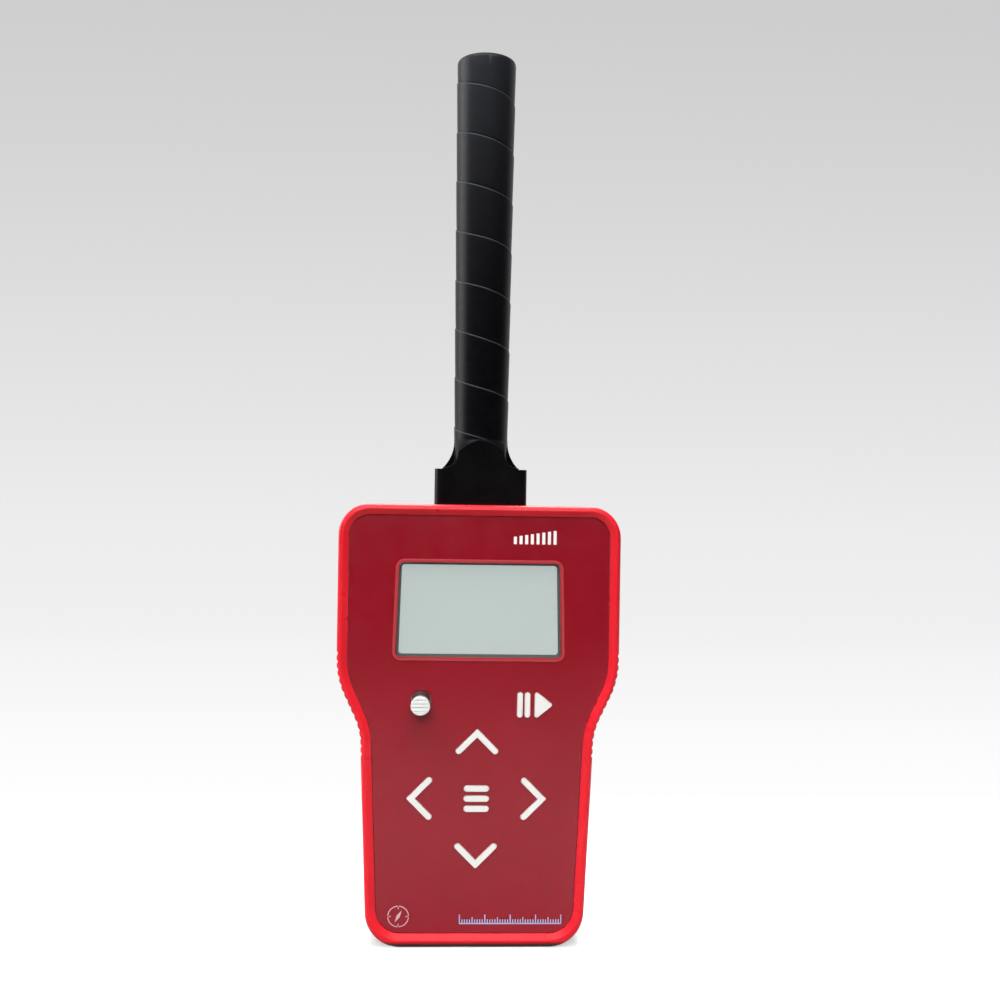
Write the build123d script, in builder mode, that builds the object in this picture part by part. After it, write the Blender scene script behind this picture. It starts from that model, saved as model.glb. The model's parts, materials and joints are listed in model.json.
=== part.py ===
"""Handheld magnetometer: a waisted two-part case with a keypad and a display, and a wrapped probe on top.

Sizes are in millimetres. X is the width, Z runs up the probe and the front faces -Y.
Depths are measured from the parting plane of the case halves: positive towards the front,
negative towards the back.
"""
from build123d import *
import math
import os

os.makedirs("parts", exist_ok=True)

# Case outline, seen from the front
case_height = 159.0
case_width = 101.7
base_width = 77.9
waist_width = 84.2
waist_drop = 81.2
shoulder_rise = 18.6
base_corner = 12.8
waist_radius = 25.0
shoulder_radius = 30.0
top_corner = 11.3

# Soft bumper and rigid shells
bumper_wall = 1.8
shell_wall = 2.0
bond_gap = 0.05
rim_width = 3.8
rim_base_lift = 1.0
rim_outer_radius = 1.6
rim_slope_width = 2.0
rim_slope_height = 1.2
rim_height = 1.5
seam_lap = 1.2
seam_chamfer = 0.3
rib_count = 14
rib_pitch = 2.9
groove_radius = 1.05
groove_depth = 0.5

# Depth stack of the front half, from the parting plane to the front
board_gap = 6.0
board_thickness = 1.6
backlight_thickness = 2.9
glass_thickness = 1.9
glass_gap = 0.3
panel_wall = 2.2
film_thickness = 0.6
film_gap = 0.3

# Depth stack of the rear half, from the parting plane to the back
cell_diameter = 14.2
cell_length = 50.5
cell_nub_length = 1.3
cell_nub_radius = 2.75
cell_gap = 0.3
cell_axis_depth = 5.5
door_wall = 2.2
rear_rim_height = 1.5
rear_lip = 2.3

# Display
window_drop = 37.9
window_top_width = 57.9
window_base_width = 59.7
window_height = 34.1
window_corner = 2.0
frame_width = 1.0
frame_height = 0.25
frame_chamfer = 0.12
lens_margin = 3.0
lens_thickness = 1.4
lens_gap = 0.15
ledge_width = 1.4
bezel_slope = 0.9
bezel_gap = 0.15
glass_margin = 3.3
backlight_margin = 4.7

# Keys
pad_drop = 67.8
pad_reach = 20.4
hold_offset = 20.7
hold_drop = 33.9
stroke = 2.1
chevron_span = 15.1
chevron_slope = 45.0
chevron_tip = 0.5
bar_length = 8.9
bar_pitch = 3.63
pause_bar = 1.85
pause_height = 9.0
pause_gap = 0.83
play_gap = 1.76
play_width = 6.5
play_height = 10.5
play_corner = 0.75
symbol_gap = 0.18
symbol_proud = 0.35
arrow_key_radius = 8.8
menu_key_radius = 7.4
hold_key_radius = 8.3
key_gap = 0.3
key_seat = 0.1
key_flange = 1.0
key_flange_thickness = 1.1
key_travel = 0.6
pusher_radius = 2.0
mat_thickness = 1.2
mat_margin = 1.2
mat_corner = 4.0
dome_radius = 4.2
dome_height = 0.6
dome_taper = 65.0
press_stop = 0.15

# Power button
button_offset = 20.4
button_drop = 32.6
button_radius = 3.4
button_head = 2.4
button_neck_width = 0.7
button_neck_depth = 0.5
button_barrel_step = 0.15
button_proud = 11.5
button_gap = 0.3
button_travel = 1.2
button_stop = 0.3
button_flange = 1.6
button_flange_thickness = 1.2
button_edge = 0.35
button_groove_count = 4
button_groove_pitch = 1.35
button_groove_width = 0.5
button_groove_depth = 0.35
stem_radius = 1.6
stem_engagement = 0.2
switch_size = 9.0
switch_floor = 0.2

# Fasteners
case_screw_inset = 11.0
case_screw_drop = 13.5
base_screw_offset = 20.0
base_screw_height = 8.6
boss_radius = 4.2
boss_clearance = 0.4
screw_radius = 1.45
screw_hole_gap = 0.25
screw_head_radius = 2.75
screw_head_height = 2.0
screw_recess = 4.0
insert_radius = 2.1
insert_length = 6.0
insert_gap = 0.05
insert_room = 1.0
board_screw_margin = 5.0
board_screw_drop = 9.0
base_board_screw_offset = 30.0
base_board_screw_drop = 19.5
standoff_radius = 2.6
board_screw_radius = 1.0
board_screw_head_radius = 2.0
board_screw_head_height = 1.5
board_screw_length = 4.0
board_clearance = 0.8
board_top_margin = 2.5

# Battery compartment and door
tub_base = 14.0
tub_wall = 1.5
cell_spacing = 14.9
contact_room = 1.6
contact_plate = 0.5
contact_width = 9.0
contact_tip_radius = 2.0
contact_reach = 0.2
door_ledge = 1.2
door_gap = 0.35
door_seat = 0.15
door_corner = 3.0
door_overrun = 3.4
tab_width = 6.0
tab_offset = 9.0
tab_reach = 2.6
tab_thickness = 1.6
tab_gap = 0.3
tab_stem = 2.0
tab_step = 0.5
tab_root = 0.4
tab_room = 2.0
nail_notch_radius = 9.0
nail_notch_depth = 1.0
nail_notch_height = 9.0

# Probe neck
neck_width = 33.8
neck_depth = 20.0
neck_corner = 3.0
neck_gap = 0.1
block_height = 13.1
flare_radius = 5.2
flare_half = 8.5
flare_step = 0.5
flare_root = 1.0
flare_cone_slope = 0.7
flare_cone_inset = 0.1
collar_height = 10.9
gusset_foot = 14.6
gusset_middle = 10.8
gusset_thickness = 3.2
neck_flange_width = 41.0
neck_flange_depth = 23.0
neck_flange_thickness = 3.0
neck_floor = 3.0
gasket_thickness = 1.0
ledge_thickness = 2.0
ledge_half_width = 14.0
ledge_depth = 4.0
cable_hole_radius = 4.0

# Probe
probe_reach = 165.3
tube_radius = 8.5
tube_bore = 7.0
tube_gap = 0.1
wrap_base_radius = 9.9
wrap_tip_radius = 10.9
wrap_edge = 1.6
wrap_pitch = 18.3
wrap_gap = 0.55
wrap_seat = 0.05
seam_drop = 8.1
cap_thickness = 2.0
cap_spigot = 8.0

# Sensor
sensor_gap = 0.35
bobbin_length = 42.0
bobbin_flange = 2.0
bobbin_radius = 2.4
core_radius = 1.1
core_gap = 0.1
coil_radius = 5.2
coil_gap = 0.1
sensor_board_length = 56.0
sensor_board_thickness = 1.2
spacer_height = 6.0
spacer_gap = 0.1
cable_radius = 1.2
plug_offset = 9.0
plug_width = 8.0
plug_tall = 7.0
plug_depth = 5.0
cable_bend_drop = 1.2
cable_slant = 9.0
cable_tail = 7.0
bend_share = 0.45

# Parts on the board
processor_size = 10.0
processor_thickness = 1.4
processor_offset = -14.0
processor_drop = 9.3
buzzer_radius = 6.0
buzzer_thickness = 4.6
buzzer_hole_radius = 1.2
buzzer_offset = 18.0
buzzer_drop = 17.3

# Depths worked out from the stacks
board_front = board_gap + board_thickness
glass_back = board_front + backlight_thickness
glass_front = glass_back + glass_thickness
panel_back = glass_front + glass_gap
panel_front = panel_back + panel_wall
film_front = panel_front + film_thickness
front_depth = film_front + rim_height
bezel_front = panel_front - lens_thickness - bezel_gap
mat_back = panel_back - mat_thickness
cell_radius = cell_diameter / 2
door_inner = cell_axis_depth + cell_radius + cell_gap
rear_face = door_inner + door_wall
rear_depth = rear_face + rear_rim_height
rear_ledge = rear_depth - rear_lip
tub_floor_back = cell_radius + cell_gap - cell_axis_depth
tub_floor_front = tub_floor_back + tub_wall

# Heights worked out from the outline
waist_height = case_height - waist_drop
shoulder_height = waist_height + shoulder_rise
shell_inset = bumper_wall + bond_gap
cavity_inset = shell_inset + shell_wall
cavity_top = case_height - cavity_inset
window_centre = case_height - window_drop
pad_centre = window_centre - pad_drop
probe_top = case_height + probe_reach

# Places of the fasteners
case_screw_places = [
    (side * (case_width / 2 - case_screw_inset), case_height - case_screw_drop) for side in (-1, 1)
] + [(side * base_screw_offset, base_screw_height) for side in (-1, 1)]
board_screw_offset = window_base_width / 2 + backlight_margin + board_screw_margin
board_screw_places = [
    (side * board_screw_offset, window_centre - board_screw_drop) for side in (-1, 1)
] + [(side * base_board_screw_offset, pad_centre - base_board_screw_drop) for side in (-1, 1)]

# Places of the keys: x and z, and for the arrows the turn of the symbol
arrow_places = {
    "key_up": (0, pad_centre + pad_reach, 0),
    "key_left": (-pad_reach, pad_centre, 90),
    "key_down": (0, pad_centre - pad_reach, 180),
    "key_right": (pad_reach, pad_centre, 270),
}
button_place = (-button_offset, window_centre - button_drop)
hold_place = (hold_offset, window_centre - hold_drop)
menu_place = (0, pad_centre)
processor_place = (processor_offset, window_centre - processor_drop)
buzzer_place = (buzzer_offset, window_centre - buzzer_drop)


def level(depth):
    """Plane parallel to the front face, at a depth from the parting plane."""
    return Plane.XZ.offset(depth)


def flank_points(base_lift=0.0):
    """Corners of the right side of the outline, from the base up."""
    base_slope = (waist_width - base_width) / 2 / waist_height
    return [
        (base_width / 2 + base_slope * base_lift, base_lift),
        (waist_width / 2, waist_height),
        (case_width / 2, shoulder_height),
        (case_width / 2, case_height),
    ]


def case_outline(inset=0.0, base_lift=0.0):
    """Outline of the case seen from the front, moved inwards; the base line can be lifted."""
    side = flank_points(base_lift)
    radii = [base_corner, waist_radius, shoulder_radius, top_corner]
    other_side = [(-x, z) for x, z in reversed(side)]
    with BuildSketch() as outline:
        with BuildLine():
            FilletPolyline(*side, *other_side, radius=radii + radii[::-1], close=True)
        make_face()
        if inset:
            offset(amount=-inset)
    return outline.sketch


def rib_groove_places():
    """Centres of the round grooves between the ribs, on both sides of the waist."""
    with BuildLine() as flank:
        FilletPolyline(*flank_points(), radius=[waist_radius, shoulder_radius])
    path = flank.wires()[0]
    slope_middle = ((waist_width + case_width) / 4, (waist_height + shoulder_height) / 2)
    middle = path.param_at_point(slope_middle)
    places = []
    for index in range(rib_count):
        along = middle + (index - (rib_count - 1) / 2) * rib_pitch / path.length
        point = path.position_at(along)
        tangent = path.tangent_at(along)
        outward = Vector(tangent.Y, -tangent.X) * (groove_radius - groove_depth)
        places.append((point.X + outward.X, point.Y + outward.Y))
        places.append((-point.X - outward.X, point.Y + outward.Y))
    return places


def window_shape(grow=0.0):
    """Display opening, a little wider at its foot, drawn about its own centre."""
    top = window_top_width / 2
    base = window_base_width / 2
    half = window_height / 2
    with BuildSketch() as shape:
        with BuildLine():
            FilletPolyline(
                (-base, -half), (base, -half), (top, half), (-top, half), radius=window_corner, close=True
            )
        make_face()
        if grow:
            offset(amount=grow)
    return shape.sketch


def chevron(turn, grow=0.0):
    """Arrow symbol of two round-ended strokes that meet in a mitre, pointing up and then turned."""
    half = stroke / 2 + grow
    slope = math.radians(chevron_slope)
    reach = (chevron_span - stroke) / 2
    half_rise = reach * math.tan(slope) / 2
    mitre = half / math.cos(slope)
    across = Vector(half * math.sin(slope), half * math.cos(slope))
    arm_end = Vector(reach, -half_rise)
    with BuildSketch(Plane.XY.rotated((0, 0, turn))) as shape:
        with BuildLine():
            Polyline(
                (0, half_rise + mitre), arm_end + across, arm_end - across, (0, half_rise - mitre), close=True
            )
        make_face()
        with Locations(arm_end):
            Circle(half)
        mirror(about=Plane.YZ)
        fillet(vertices().sort_by(Axis.Y)[-1], chevron_tip + grow)
    return shape.sketch


def menu_bars(grow=0.0):
    """Three round-ended bars."""
    with BuildSketch() as shape:
        with GridLocations(0, bar_pitch, 1, 3):
            SlotOverall(bar_length + 2 * grow, stroke + 2 * grow)
    return shape.sketch


def play_triangle(grow=0.0):
    """Triangle with round corners, pointing right, with its left side on the centre line."""
    half = play_height / 2
    with BuildSketch() as shape:
        with BuildLine():
            FilletPolyline((0, -half), (play_width, 0), (0, half), radius=play_corner, close=True)
        make_face()
        if grow:
            offset(amount=grow)
    return shape.sketch


def hold_symbol(grow=0.0):
    """Two upright bars and a triangle."""
    full_width = 2 * pause_bar + pause_gap + play_gap + play_width
    first_bar = (pause_bar - full_width) / 2
    with BuildSketch() as shape:
        for index in range(2):
            with Locations((first_bar + index * (pause_bar + pause_gap), 0)):
                SlotOverall(pause_height + 2 * grow, pause_bar + 2 * grow, rotation=90)
        with Locations((full_width / 2 - play_width, 0)):
            add(play_triangle(grow))
    return shape.sketch


def key_shapes(grow=0.0):
    """Symbol, place and body radius of each key."""
    keys = {
        name: (chevron(turn, grow), (x, z), arrow_key_radius) for name, (x, z, turn) in arrow_places.items()
    }
    keys["key_menu"] = (menu_bars(grow), menu_place, menu_key_radius)
    keys["key_hold"] = (hold_symbol(grow), hold_place, hold_key_radius)
    return keys


def neck_opening():
    """Hole round the neck block in the top of the case, seen from above."""
    with BuildSketch() as shape:
        RectangleRounded(neck_width + 2 * neck_gap, neck_depth + 2 * neck_gap, neck_corner + neck_gap)
    return shape.sketch


def least_wrap_gap():
    """Least distance between points on the two edges of the tape that face each other across the gap."""
    samples = 2000
    climb = -wrap_pitch / (2 * math.pi)
    upper = Vector(wrap_base_radius, 0, wrap_gap)
    angles = [math.pi * (index / samples - 0.5) for index in range(samples + 1)]
    lower = [
        Vector(wrap_base_radius, 0, climb * angle).rotate(Axis.Z, math.degrees(angle)) for angle in angles
    ]
    return min((upper - point).length for point in lower)


key_places = [place for symbol, place, radius in key_shapes().values()]
rib_places = rib_groove_places()

# Neck heights
gasket_top = cavity_top
flange_top = gasket_top - gasket_thickness
flange_base = flange_top - neck_flange_thickness
block_top = case_height + block_height
collar_top = block_top + collar_height
ledge_base = flange_base - neck_gap - ledge_thickness
flare_foot = flare_half + flare_radius
flare_base = block_top + flare_step
flare_centre = flare_base + flare_radius
cone_base_radius = wrap_base_radius - flare_cone_inset + flare_cone_slope * (collar_height + flare_root)

# Probe heights
tube_base = flange_base + neck_floor
tube_top = probe_top - cap_thickness
spigot_base = tube_top - cap_spigot
seam_turns_below = math.ceil((probe_top - seam_drop - collar_top) / wrap_pitch + 0.5)
seam_base = probe_top - seam_drop - (seam_turns_below - 0.5) * wrap_pitch
seam_length = (math.ceil((probe_top - seam_base) / wrap_pitch) + 1) * wrap_pitch
bobbin_top = spigot_base - 2 * spacer_gap - spacer_height
bobbin_base = bobbin_top - bobbin_length
sensor_board_base = bobbin_base - spacer_gap - sensor_board_length

# Board, mat and key levels
board_top = window_centre + window_height / 2 + backlight_margin + board_top_margin
mat_half = pad_reach + arrow_key_radius + key_gap + mat_margin
mat_base = pad_centre - pad_reach - arrow_key_radius - key_gap - mat_margin
mat_top = hold_place[1] + hold_key_radius + key_gap + mat_margin
key_shoulder = panel_front - key_seat
key_flange_back = mat_back - key_seat - key_flange_thickness
pusher_end = board_front + dome_height + key_travel + press_stop
button_top = film_front + button_proud
button_flange_back = panel_back - key_seat - button_flange_thickness
switch_top = button_flange_back - button_travel - button_stop
stem_end = switch_top - stem_engagement
screw_seat = rear_face - screw_recess

# Battery compartment and door levels
tub_half = cell_spacing / 2 + cell_radius + cell_gap
cell_base = tub_base + contact_room
partition_base = cell_base + cell_length + contact_room
opening_half = tub_half + door_ledge
opening_base = tub_base - door_ledge
opening_top = partition_base + tub_wall + door_overrun
pocket_top = opening_top + tab_reach + tab_room
door_half = opening_half - door_gap
door_base = opening_base + door_gap
nose_height = opening_top - door_gap - door_wall / 2
nose_depth = door_inner + door_wall / 2
tab_base = nose_height - tab_step - tab_stem

# Cable route: down the probe, across under the neck and down into the plug
cable_bend_height = flange_base - cable_bend_drop
cable_turn_height = cable_bend_height - cable_slant
plug_top = cable_turn_height - cable_tail
plug_middle = -(board_gap - plug_depth / 2)
cable_points = [
    (0, 0, sensor_board_base),
    (0, 0, cable_bend_height),
    (plug_offset, plug_middle, cable_turn_height),
    (plug_offset, plug_middle, plug_top),
]


def bend_radii(points):
    """Largest round bend at each corner of the cable's route."""
    places = [Vector(*point) for point in points]
    radii = []
    for before, corner, after in zip(places, places[1:], places[2:]):
        run_in = corner - before
        run_out = after - corner
        half_turn = math.radians(run_in.get_angle(run_out)) / 2
        radii.append(bend_share * min(run_in.length, run_out.length) / math.tan(half_turn))
    return radii


cable_bends = bend_radii(cable_points)

# Front bumper: the soft rim and the ribbed side band of the front half, which laps over the parting plane
with BuildPart() as front_bumper:
    with BuildSketch(level(-seam_lap)):
        add(case_outline())
    extrude(amount=seam_lap + front_depth)
    fillet(faces().sort_by(Axis.Y)[0].edges(), rim_outer_radius)
    chamfer(faces().sort_by(Axis.Y)[-1].edges(), seam_chamfer)
    with BuildSketch(level(-seam_lap)):
        add(case_outline(bumper_wall))
    extrude(amount=seam_lap + panel_front, mode=Mode.SUBTRACT)
    with BuildSketch(level(0)):
        add(case_outline(rim_width, rim_base_lift))
    extrude(amount=front_depth, mode=Mode.SUBTRACT)
    rim_face = faces().sort_by(Axis.Y)[0]
    chamfer(rim_face.inner_wires().edges(), rim_slope_width, rim_slope_height, reference=rim_face)
    with BuildSketch(level(-seam_lap)):
        with Locations(*rib_places):
            Circle(groove_radius)
    extrude(amount=seam_lap + front_depth, mode=Mode.SUBTRACT)
    with BuildSketch(Plane.XY.offset(cavity_top)):
        add(neck_opening())
    extrude(amount=cavity_inset + rim_height, mode=Mode.SUBTRACT)
front_bumper.part.label = "front_bumper"
export_step(front_bumper.part, "parts/front_bumper.step")

# Rear bumper: the soft band of the rear half
with BuildPart() as rear_bumper:
    with BuildSketch(level(-seam_lap)):
        add(case_outline())
    extrude(amount=seam_lap - rear_depth)
    fillet(faces().sort_by(Axis.Y)[-1].edges(), rim_outer_radius)
    chamfer(faces().sort_by(Axis.Y)[0].edges(), seam_chamfer)
    with BuildSketch(level(0)):
        add(case_outline(bumper_wall))
    extrude(amount=-rear_ledge, mode=Mode.SUBTRACT)
    with BuildSketch(level(0)):
        add(case_outline(rim_width, rim_base_lift))
    extrude(amount=-rear_depth, mode=Mode.SUBTRACT)
    rim_face = faces().sort_by(Axis.Y)[-1]
    chamfer(rim_face.inner_wires().edges(), rim_slope_width, rim_slope_height, reference=rim_face)
    with BuildSketch(level(0)):
        with Locations(*rib_places):
            Circle(groove_radius)
    extrude(amount=-rear_depth, mode=Mode.SUBTRACT)
    with BuildSketch(Plane.XY.offset(cavity_top)):
        add(neck_opening())
    extrude(amount=cavity_inset + rim_height, mode=Mode.SUBTRACT)
rear_bumper.part.label = "rear_bumper"
export_step(rear_bumper.part, "parts/rear_bumper.step")

# Front shell: the rigid tray behind the panel, with its bosses, standoffs and openings
with BuildPart() as front_shell:
    with BuildSketch(level(0)):
        add(case_outline(shell_inset))
    extrude(amount=panel_front)
    with BuildSketch(level(0)):
        add(case_outline(cavity_inset))
    extrude(amount=panel_back, mode=Mode.SUBTRACT)
    with BuildSketch(level(0)):
        with Locations(*case_screw_places):
            Circle(boss_radius)
    extrude(amount=panel_back)
    with BuildSketch(level(0)):
        with Locations(*case_screw_places):
            Circle(insert_radius + insert_gap)
    extrude(amount=insert_length + insert_room, mode=Mode.SUBTRACT)
    with BuildSketch(level(board_front)):
        with Locations(*board_screw_places):
            Circle(standoff_radius)
    extrude(amount=panel_back - board_front)
    with BuildSketch(level(board_front)):
        with Locations(*board_screw_places):
            Circle(board_screw_radius + insert_gap)
    extrude(amount=board_screw_length, mode=Mode.SUBTRACT)
    with BuildSketch(level(panel_back)):
        with Locations((0, window_centre)):
            add(window_shape(lens_margin - ledge_width))
        for symbol, place, radius in key_shapes().values():
            with Locations(place):
                Circle(radius + key_gap)
        with Locations(button_place):
            Circle(button_radius + button_gap)
    extrude(amount=panel_wall, mode=Mode.SUBTRACT)
    with BuildSketch(level(panel_front - lens_thickness)):
        with Locations((0, window_centre)):
            add(window_shape(lens_margin + lens_gap))
    extrude(amount=lens_thickness, mode=Mode.SUBTRACT)
    with BuildSketch(Plane.XY.offset(ledge_base)):
        with Locations((0, -(panel_back + ledge_depth) / 2)):
            Rectangle(2 * ledge_half_width, panel_back - ledge_depth)
    extrude(amount=ledge_thickness)
    with BuildSketch(Plane.XY.offset(cavity_top)):
        add(neck_opening())
    extrude(amount=cavity_inset, mode=Mode.SUBTRACT)
front_shell.part.label = "front_shell"
export_step(front_shell.part, "parts/front_shell.step")

# Rear shell: the rigid back, with the screw bosses and the battery compartment
with BuildPart() as rear_shell:
    with BuildSketch(level(0)):
        add(case_outline(shell_inset))
    extrude(amount=-rear_ledge)
    with BuildSketch(level(-rear_ledge)):
        add(case_outline(rim_width + film_gap, rim_base_lift))
    extrude(amount=rear_ledge - rear_face)
    with BuildSketch(level(0)):
        add(case_outline(cavity_inset))
    extrude(amount=-door_inner, mode=Mode.SUBTRACT)
    with BuildSketch(level(0)):
        with Locations(*case_screw_places):
            Circle(boss_radius)
    extrude(amount=-door_inner)
    with BuildSketch(level(tub_floor_front)):
        with Locations((0, (tub_base + pocket_top) / 2)):
            Rectangle(2 * (tub_half + tub_wall), pocket_top - tub_base + 2 * tub_wall)
    extrude(amount=-(tub_floor_front + door_inner))
    with BuildSketch(level(tub_floor_back)):
        with Locations((0, (tub_base + pocket_top) / 2)):
            Rectangle(2 * tub_half, pocket_top - tub_base)
    extrude(amount=-(tub_floor_back + door_inner), mode=Mode.SUBTRACT)
    with BuildSketch(level(tub_floor_back)):
        with Locations((0, partition_base + tub_wall / 2)):
            Rectangle(2 * tub_half, tub_wall)
    extrude(amount=-(tub_floor_back + cell_axis_depth + contact_tip_radius))
    with BuildSketch(level(-rear_face)):
        with Locations((0, (opening_base + opening_top) / 2)):
            Rectangle(2 * opening_half, opening_top - opening_base)
        fillet(vertices().group_by(Axis.Y)[0], door_corner + door_gap)
    extrude(amount=door_wall + door_seat, mode=Mode.SUBTRACT)
    with BuildSketch(level(-rear_face)):
        with Locations(*case_screw_places):
            Circle(screw_head_radius + screw_hole_gap)
    extrude(amount=screw_recess, mode=Mode.SUBTRACT)
    with BuildSketch(level(-rear_face)):
        with Locations(*case_screw_places):
            Circle(screw_radius + screw_hole_gap)
    extrude(amount=rear_face, mode=Mode.SUBTRACT)
    with BuildSketch(Plane.XY.offset(ledge_base)):
        with Locations((0, (door_inner + ledge_depth) / 2)):
            Rectangle(2 * ledge_half_width, door_inner - ledge_depth)
    extrude(amount=ledge_thickness)
    with BuildSketch(Plane.XY.offset(cavity_top)):
        add(neck_opening())
    extrude(amount=cavity_inset, mode=Mode.SUBTRACT)
rear_shell.part.label = "rear_shell"
export_step(rear_shell.part, "parts/rear_shell.step")

# Front panel: the printed film, raised round the display and cut out for the symbols
with BuildPart() as front_panel:
    with BuildSketch(level(panel_front)):
        add(case_outline(rim_width + film_gap, rim_base_lift))
    extrude(amount=film_thickness)
    with BuildSketch(level(film_front)):
        with Locations((0, window_centre)):
            add(window_shape(frame_width))
    extrude(amount=frame_height)
    chamfer(faces().sort_by(Axis.Y)[0].edges(), frame_chamfer)
    with BuildSketch(level(panel_front)):
        with Locations((0, window_centre)):
            add(window_shape())
        for symbol, place, radius in key_shapes(symbol_gap).values():
            with Locations(place):
                add(symbol)
        with Locations(button_place):
            Circle(button_radius + button_gap)
    extrude(amount=film_thickness + frame_height, mode=Mode.SUBTRACT)
front_panel.part.label = "front_panel"
export_step(front_panel.part, "parts/front_panel.step")

# Display lens, in its pocket under the film
with BuildPart() as display_lens:
    with BuildSketch(level(panel_front - lens_thickness)):
        with Locations((0, window_centre)):
            add(window_shape(lens_margin))
    extrude(amount=lens_thickness)
display_lens.part.label = "display_lens"
export_step(display_lens.part, "parts/display_lens.step")

# Display frame, on the glass, with sloped walls round the view
with BuildPart() as lcd_frame:
    with BuildSketch(level(glass_front)):
        with Locations((0, window_centre)):
            add(window_shape(lens_margin - ledge_width - bezel_gap))
    extrude(amount=bezel_front - glass_front)
    with BuildSketch(level(glass_front)):
        with Locations((0, window_centre)):
            add(window_shape(-bezel_slope))
    with BuildSketch(level(bezel_front)):
        with Locations((0, window_centre)):
            add(window_shape())
    loft(mode=Mode.SUBTRACT)
lcd_frame.part.label = "lcd_frame"
export_step(lcd_frame.part, "parts/lcd_frame.step")

# Display glass
with BuildPart() as lcd_glass:
    with BuildSketch(level(glass_back)):
        with Locations((0, window_centre)):
            Rectangle(window_base_width + 2 * glass_margin, window_height + 2 * glass_margin)
    extrude(amount=glass_thickness)
lcd_glass.part.label = "lcd_glass"
export_step(lcd_glass.part, "parts/lcd_glass.step")

# Backlight and frame of the display, on the board
with BuildPart() as lcd_backlight:
    with BuildSketch(level(board_front)):
        with Locations((0, window_centre)):
            Rectangle(window_base_width + 2 * backlight_margin, window_height + 2 * backlight_margin)
    extrude(amount=backlight_thickness)
lcd_backlight.part.label = "lcd_backlight"
export_step(lcd_backlight.part, "parts/lcd_backlight.step")

# Main board, shaped like the case and cut out round the bosses
with BuildPart() as main_board:
    with BuildSketch(level(board_gap)):
        add(case_outline(cavity_inset + board_clearance))
        with Locations((0, board_top / 2)):
            Rectangle(case_width, board_top, mode=Mode.INTERSECT)
        with Locations(*case_screw_places):
            Circle(boss_radius + boss_clearance, mode=Mode.SUBTRACT)
        with Locations(*board_screw_places):
            Circle(board_screw_radius + insert_gap, mode=Mode.SUBTRACT)
    extrude(amount=board_thickness)
main_board.part.label = "main_board"
export_step(main_board.part, "parts/main_board.step")

# Keypad mat, behind the panel, with a hole round every key
with BuildPart() as keypad_mat:
    with BuildSketch(level(mat_back)):
        with Locations((0, (mat_base + mat_top) / 2)):
            RectangleRounded(2 * mat_half, mat_top - mat_base, mat_corner)
        for symbol, place, radius in key_shapes().values():
            with Locations(place):
                Circle(radius + key_gap, mode=Mode.SUBTRACT)
        with Locations(button_place):
            Circle(button_radius + button_flange + button_gap, mode=Mode.SUBTRACT)
        with Locations(*board_screw_places):
            Circle(standoff_radius + boss_clearance, mode=Mode.SUBTRACT)
        with Locations(*case_screw_places):
            Circle(boss_radius + boss_clearance, mode=Mode.SUBTRACT)
    extrude(amount=mat_thickness)
keypad_mat.part.label = "keypad_mat"
export_step(keypad_mat.part, "parts/keypad_mat.step")

# Keys: a round body with a flange behind the mat, a pusher and the raised symbol
for name, (symbol, place, radius) in key_shapes().items():
    with BuildPart() as key:
        with BuildSketch(level(key_flange_back)):
            with Locations(place):
                Circle(radius + key_flange)
        extrude(amount=key_flange_thickness)
        with BuildSketch(level(key_flange_back)):
            with Locations(place):
                Circle(radius)
        extrude(amount=key_shoulder - key_flange_back)
        with BuildSketch(level(key_shoulder)):
            with Locations(place):
                add(symbol)
        extrude(amount=film_front + symbol_proud - key_shoulder)
        with BuildSketch(level(pusher_end)):
            with Locations(place):
                Circle(pusher_radius)
        extrude(amount=key_flange_back - pusher_end)
    key.part.label = name
    export_step(key.part, f"parts/{name}.step")

# Snap domes under the keys
with BuildPart() as key_domes:
    with BuildSketch(level(board_front)):
        with Locations(*key_places):
            Circle(dome_radius)
    extrude(amount=dome_height, taper=dome_taper)
key_domes.part.label = "key_domes"
export_step(key_domes.part, "parts/key_domes.step")

# Power button: a metal barrel with a ribbed head, a flange behind the panel and a stem into the switch
with BuildPart() as power_button:
    with BuildSketch(level(button_flange_back)):
        with Locations(button_place):
            Circle(button_radius + button_flange)
    extrude(amount=button_flange_thickness)
    with BuildSketch(level(button_flange_back)):
        with Locations(button_place):
            Circle(button_radius - button_barrel_step)
    extrude(amount=button_top - button_flange_back)
    with BuildSketch(level(button_top)):
        with Locations(button_place):
            Circle(button_radius)
    extrude(amount=-button_head)
    chamfer(faces().sort_by(Axis.Y)[0].edges(), button_edge)
    with BuildSketch(level(button_top - button_head)):
        with Locations(button_place):
            Circle(button_radius)
            Circle(button_radius - button_neck_depth, mode=Mode.SUBTRACT)
    extrude(amount=-button_neck_width, mode=Mode.SUBTRACT)
    with BuildSketch(level(button_top)):
        with Locations(button_place):
            with GridLocations(0, button_groove_pitch, 1, button_groove_count):
                Rectangle(2 * button_radius, button_groove_width)
    extrude(amount=-button_groove_depth, mode=Mode.SUBTRACT)
    with BuildSketch(level(stem_end)):
        with Locations(button_place):
            Circle(stem_radius)
    extrude(amount=button_flange_back - stem_end)
power_button.part.label = "power_button"
export_step(power_button.part, "parts/power_button.step")

# Power switch on the board
with BuildPart() as power_switch:
    with BuildSketch(level(board_front)):
        with Locations(button_place):
            Rectangle(switch_size, switch_size)
    extrude(amount=switch_top - board_front)
    with BuildSketch(level(board_front + switch_floor)):
        with Locations(button_place):
            Circle(stem_radius + button_gap)
    extrude(amount=switch_top - board_front - switch_floor, mode=Mode.SUBTRACT)
power_switch.part.label = "power_switch"
export_step(power_switch.part, "parts/power_switch.step")

# Processor and buzzer on the back of the board
with BuildPart() as processor:
    with BuildSketch(level(board_gap)):
        with Locations(processor_place):
            Rectangle(processor_size, processor_size)
    extrude(amount=-processor_thickness)
processor.part.label = "processor"
export_step(processor.part, "parts/processor.step")

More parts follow.
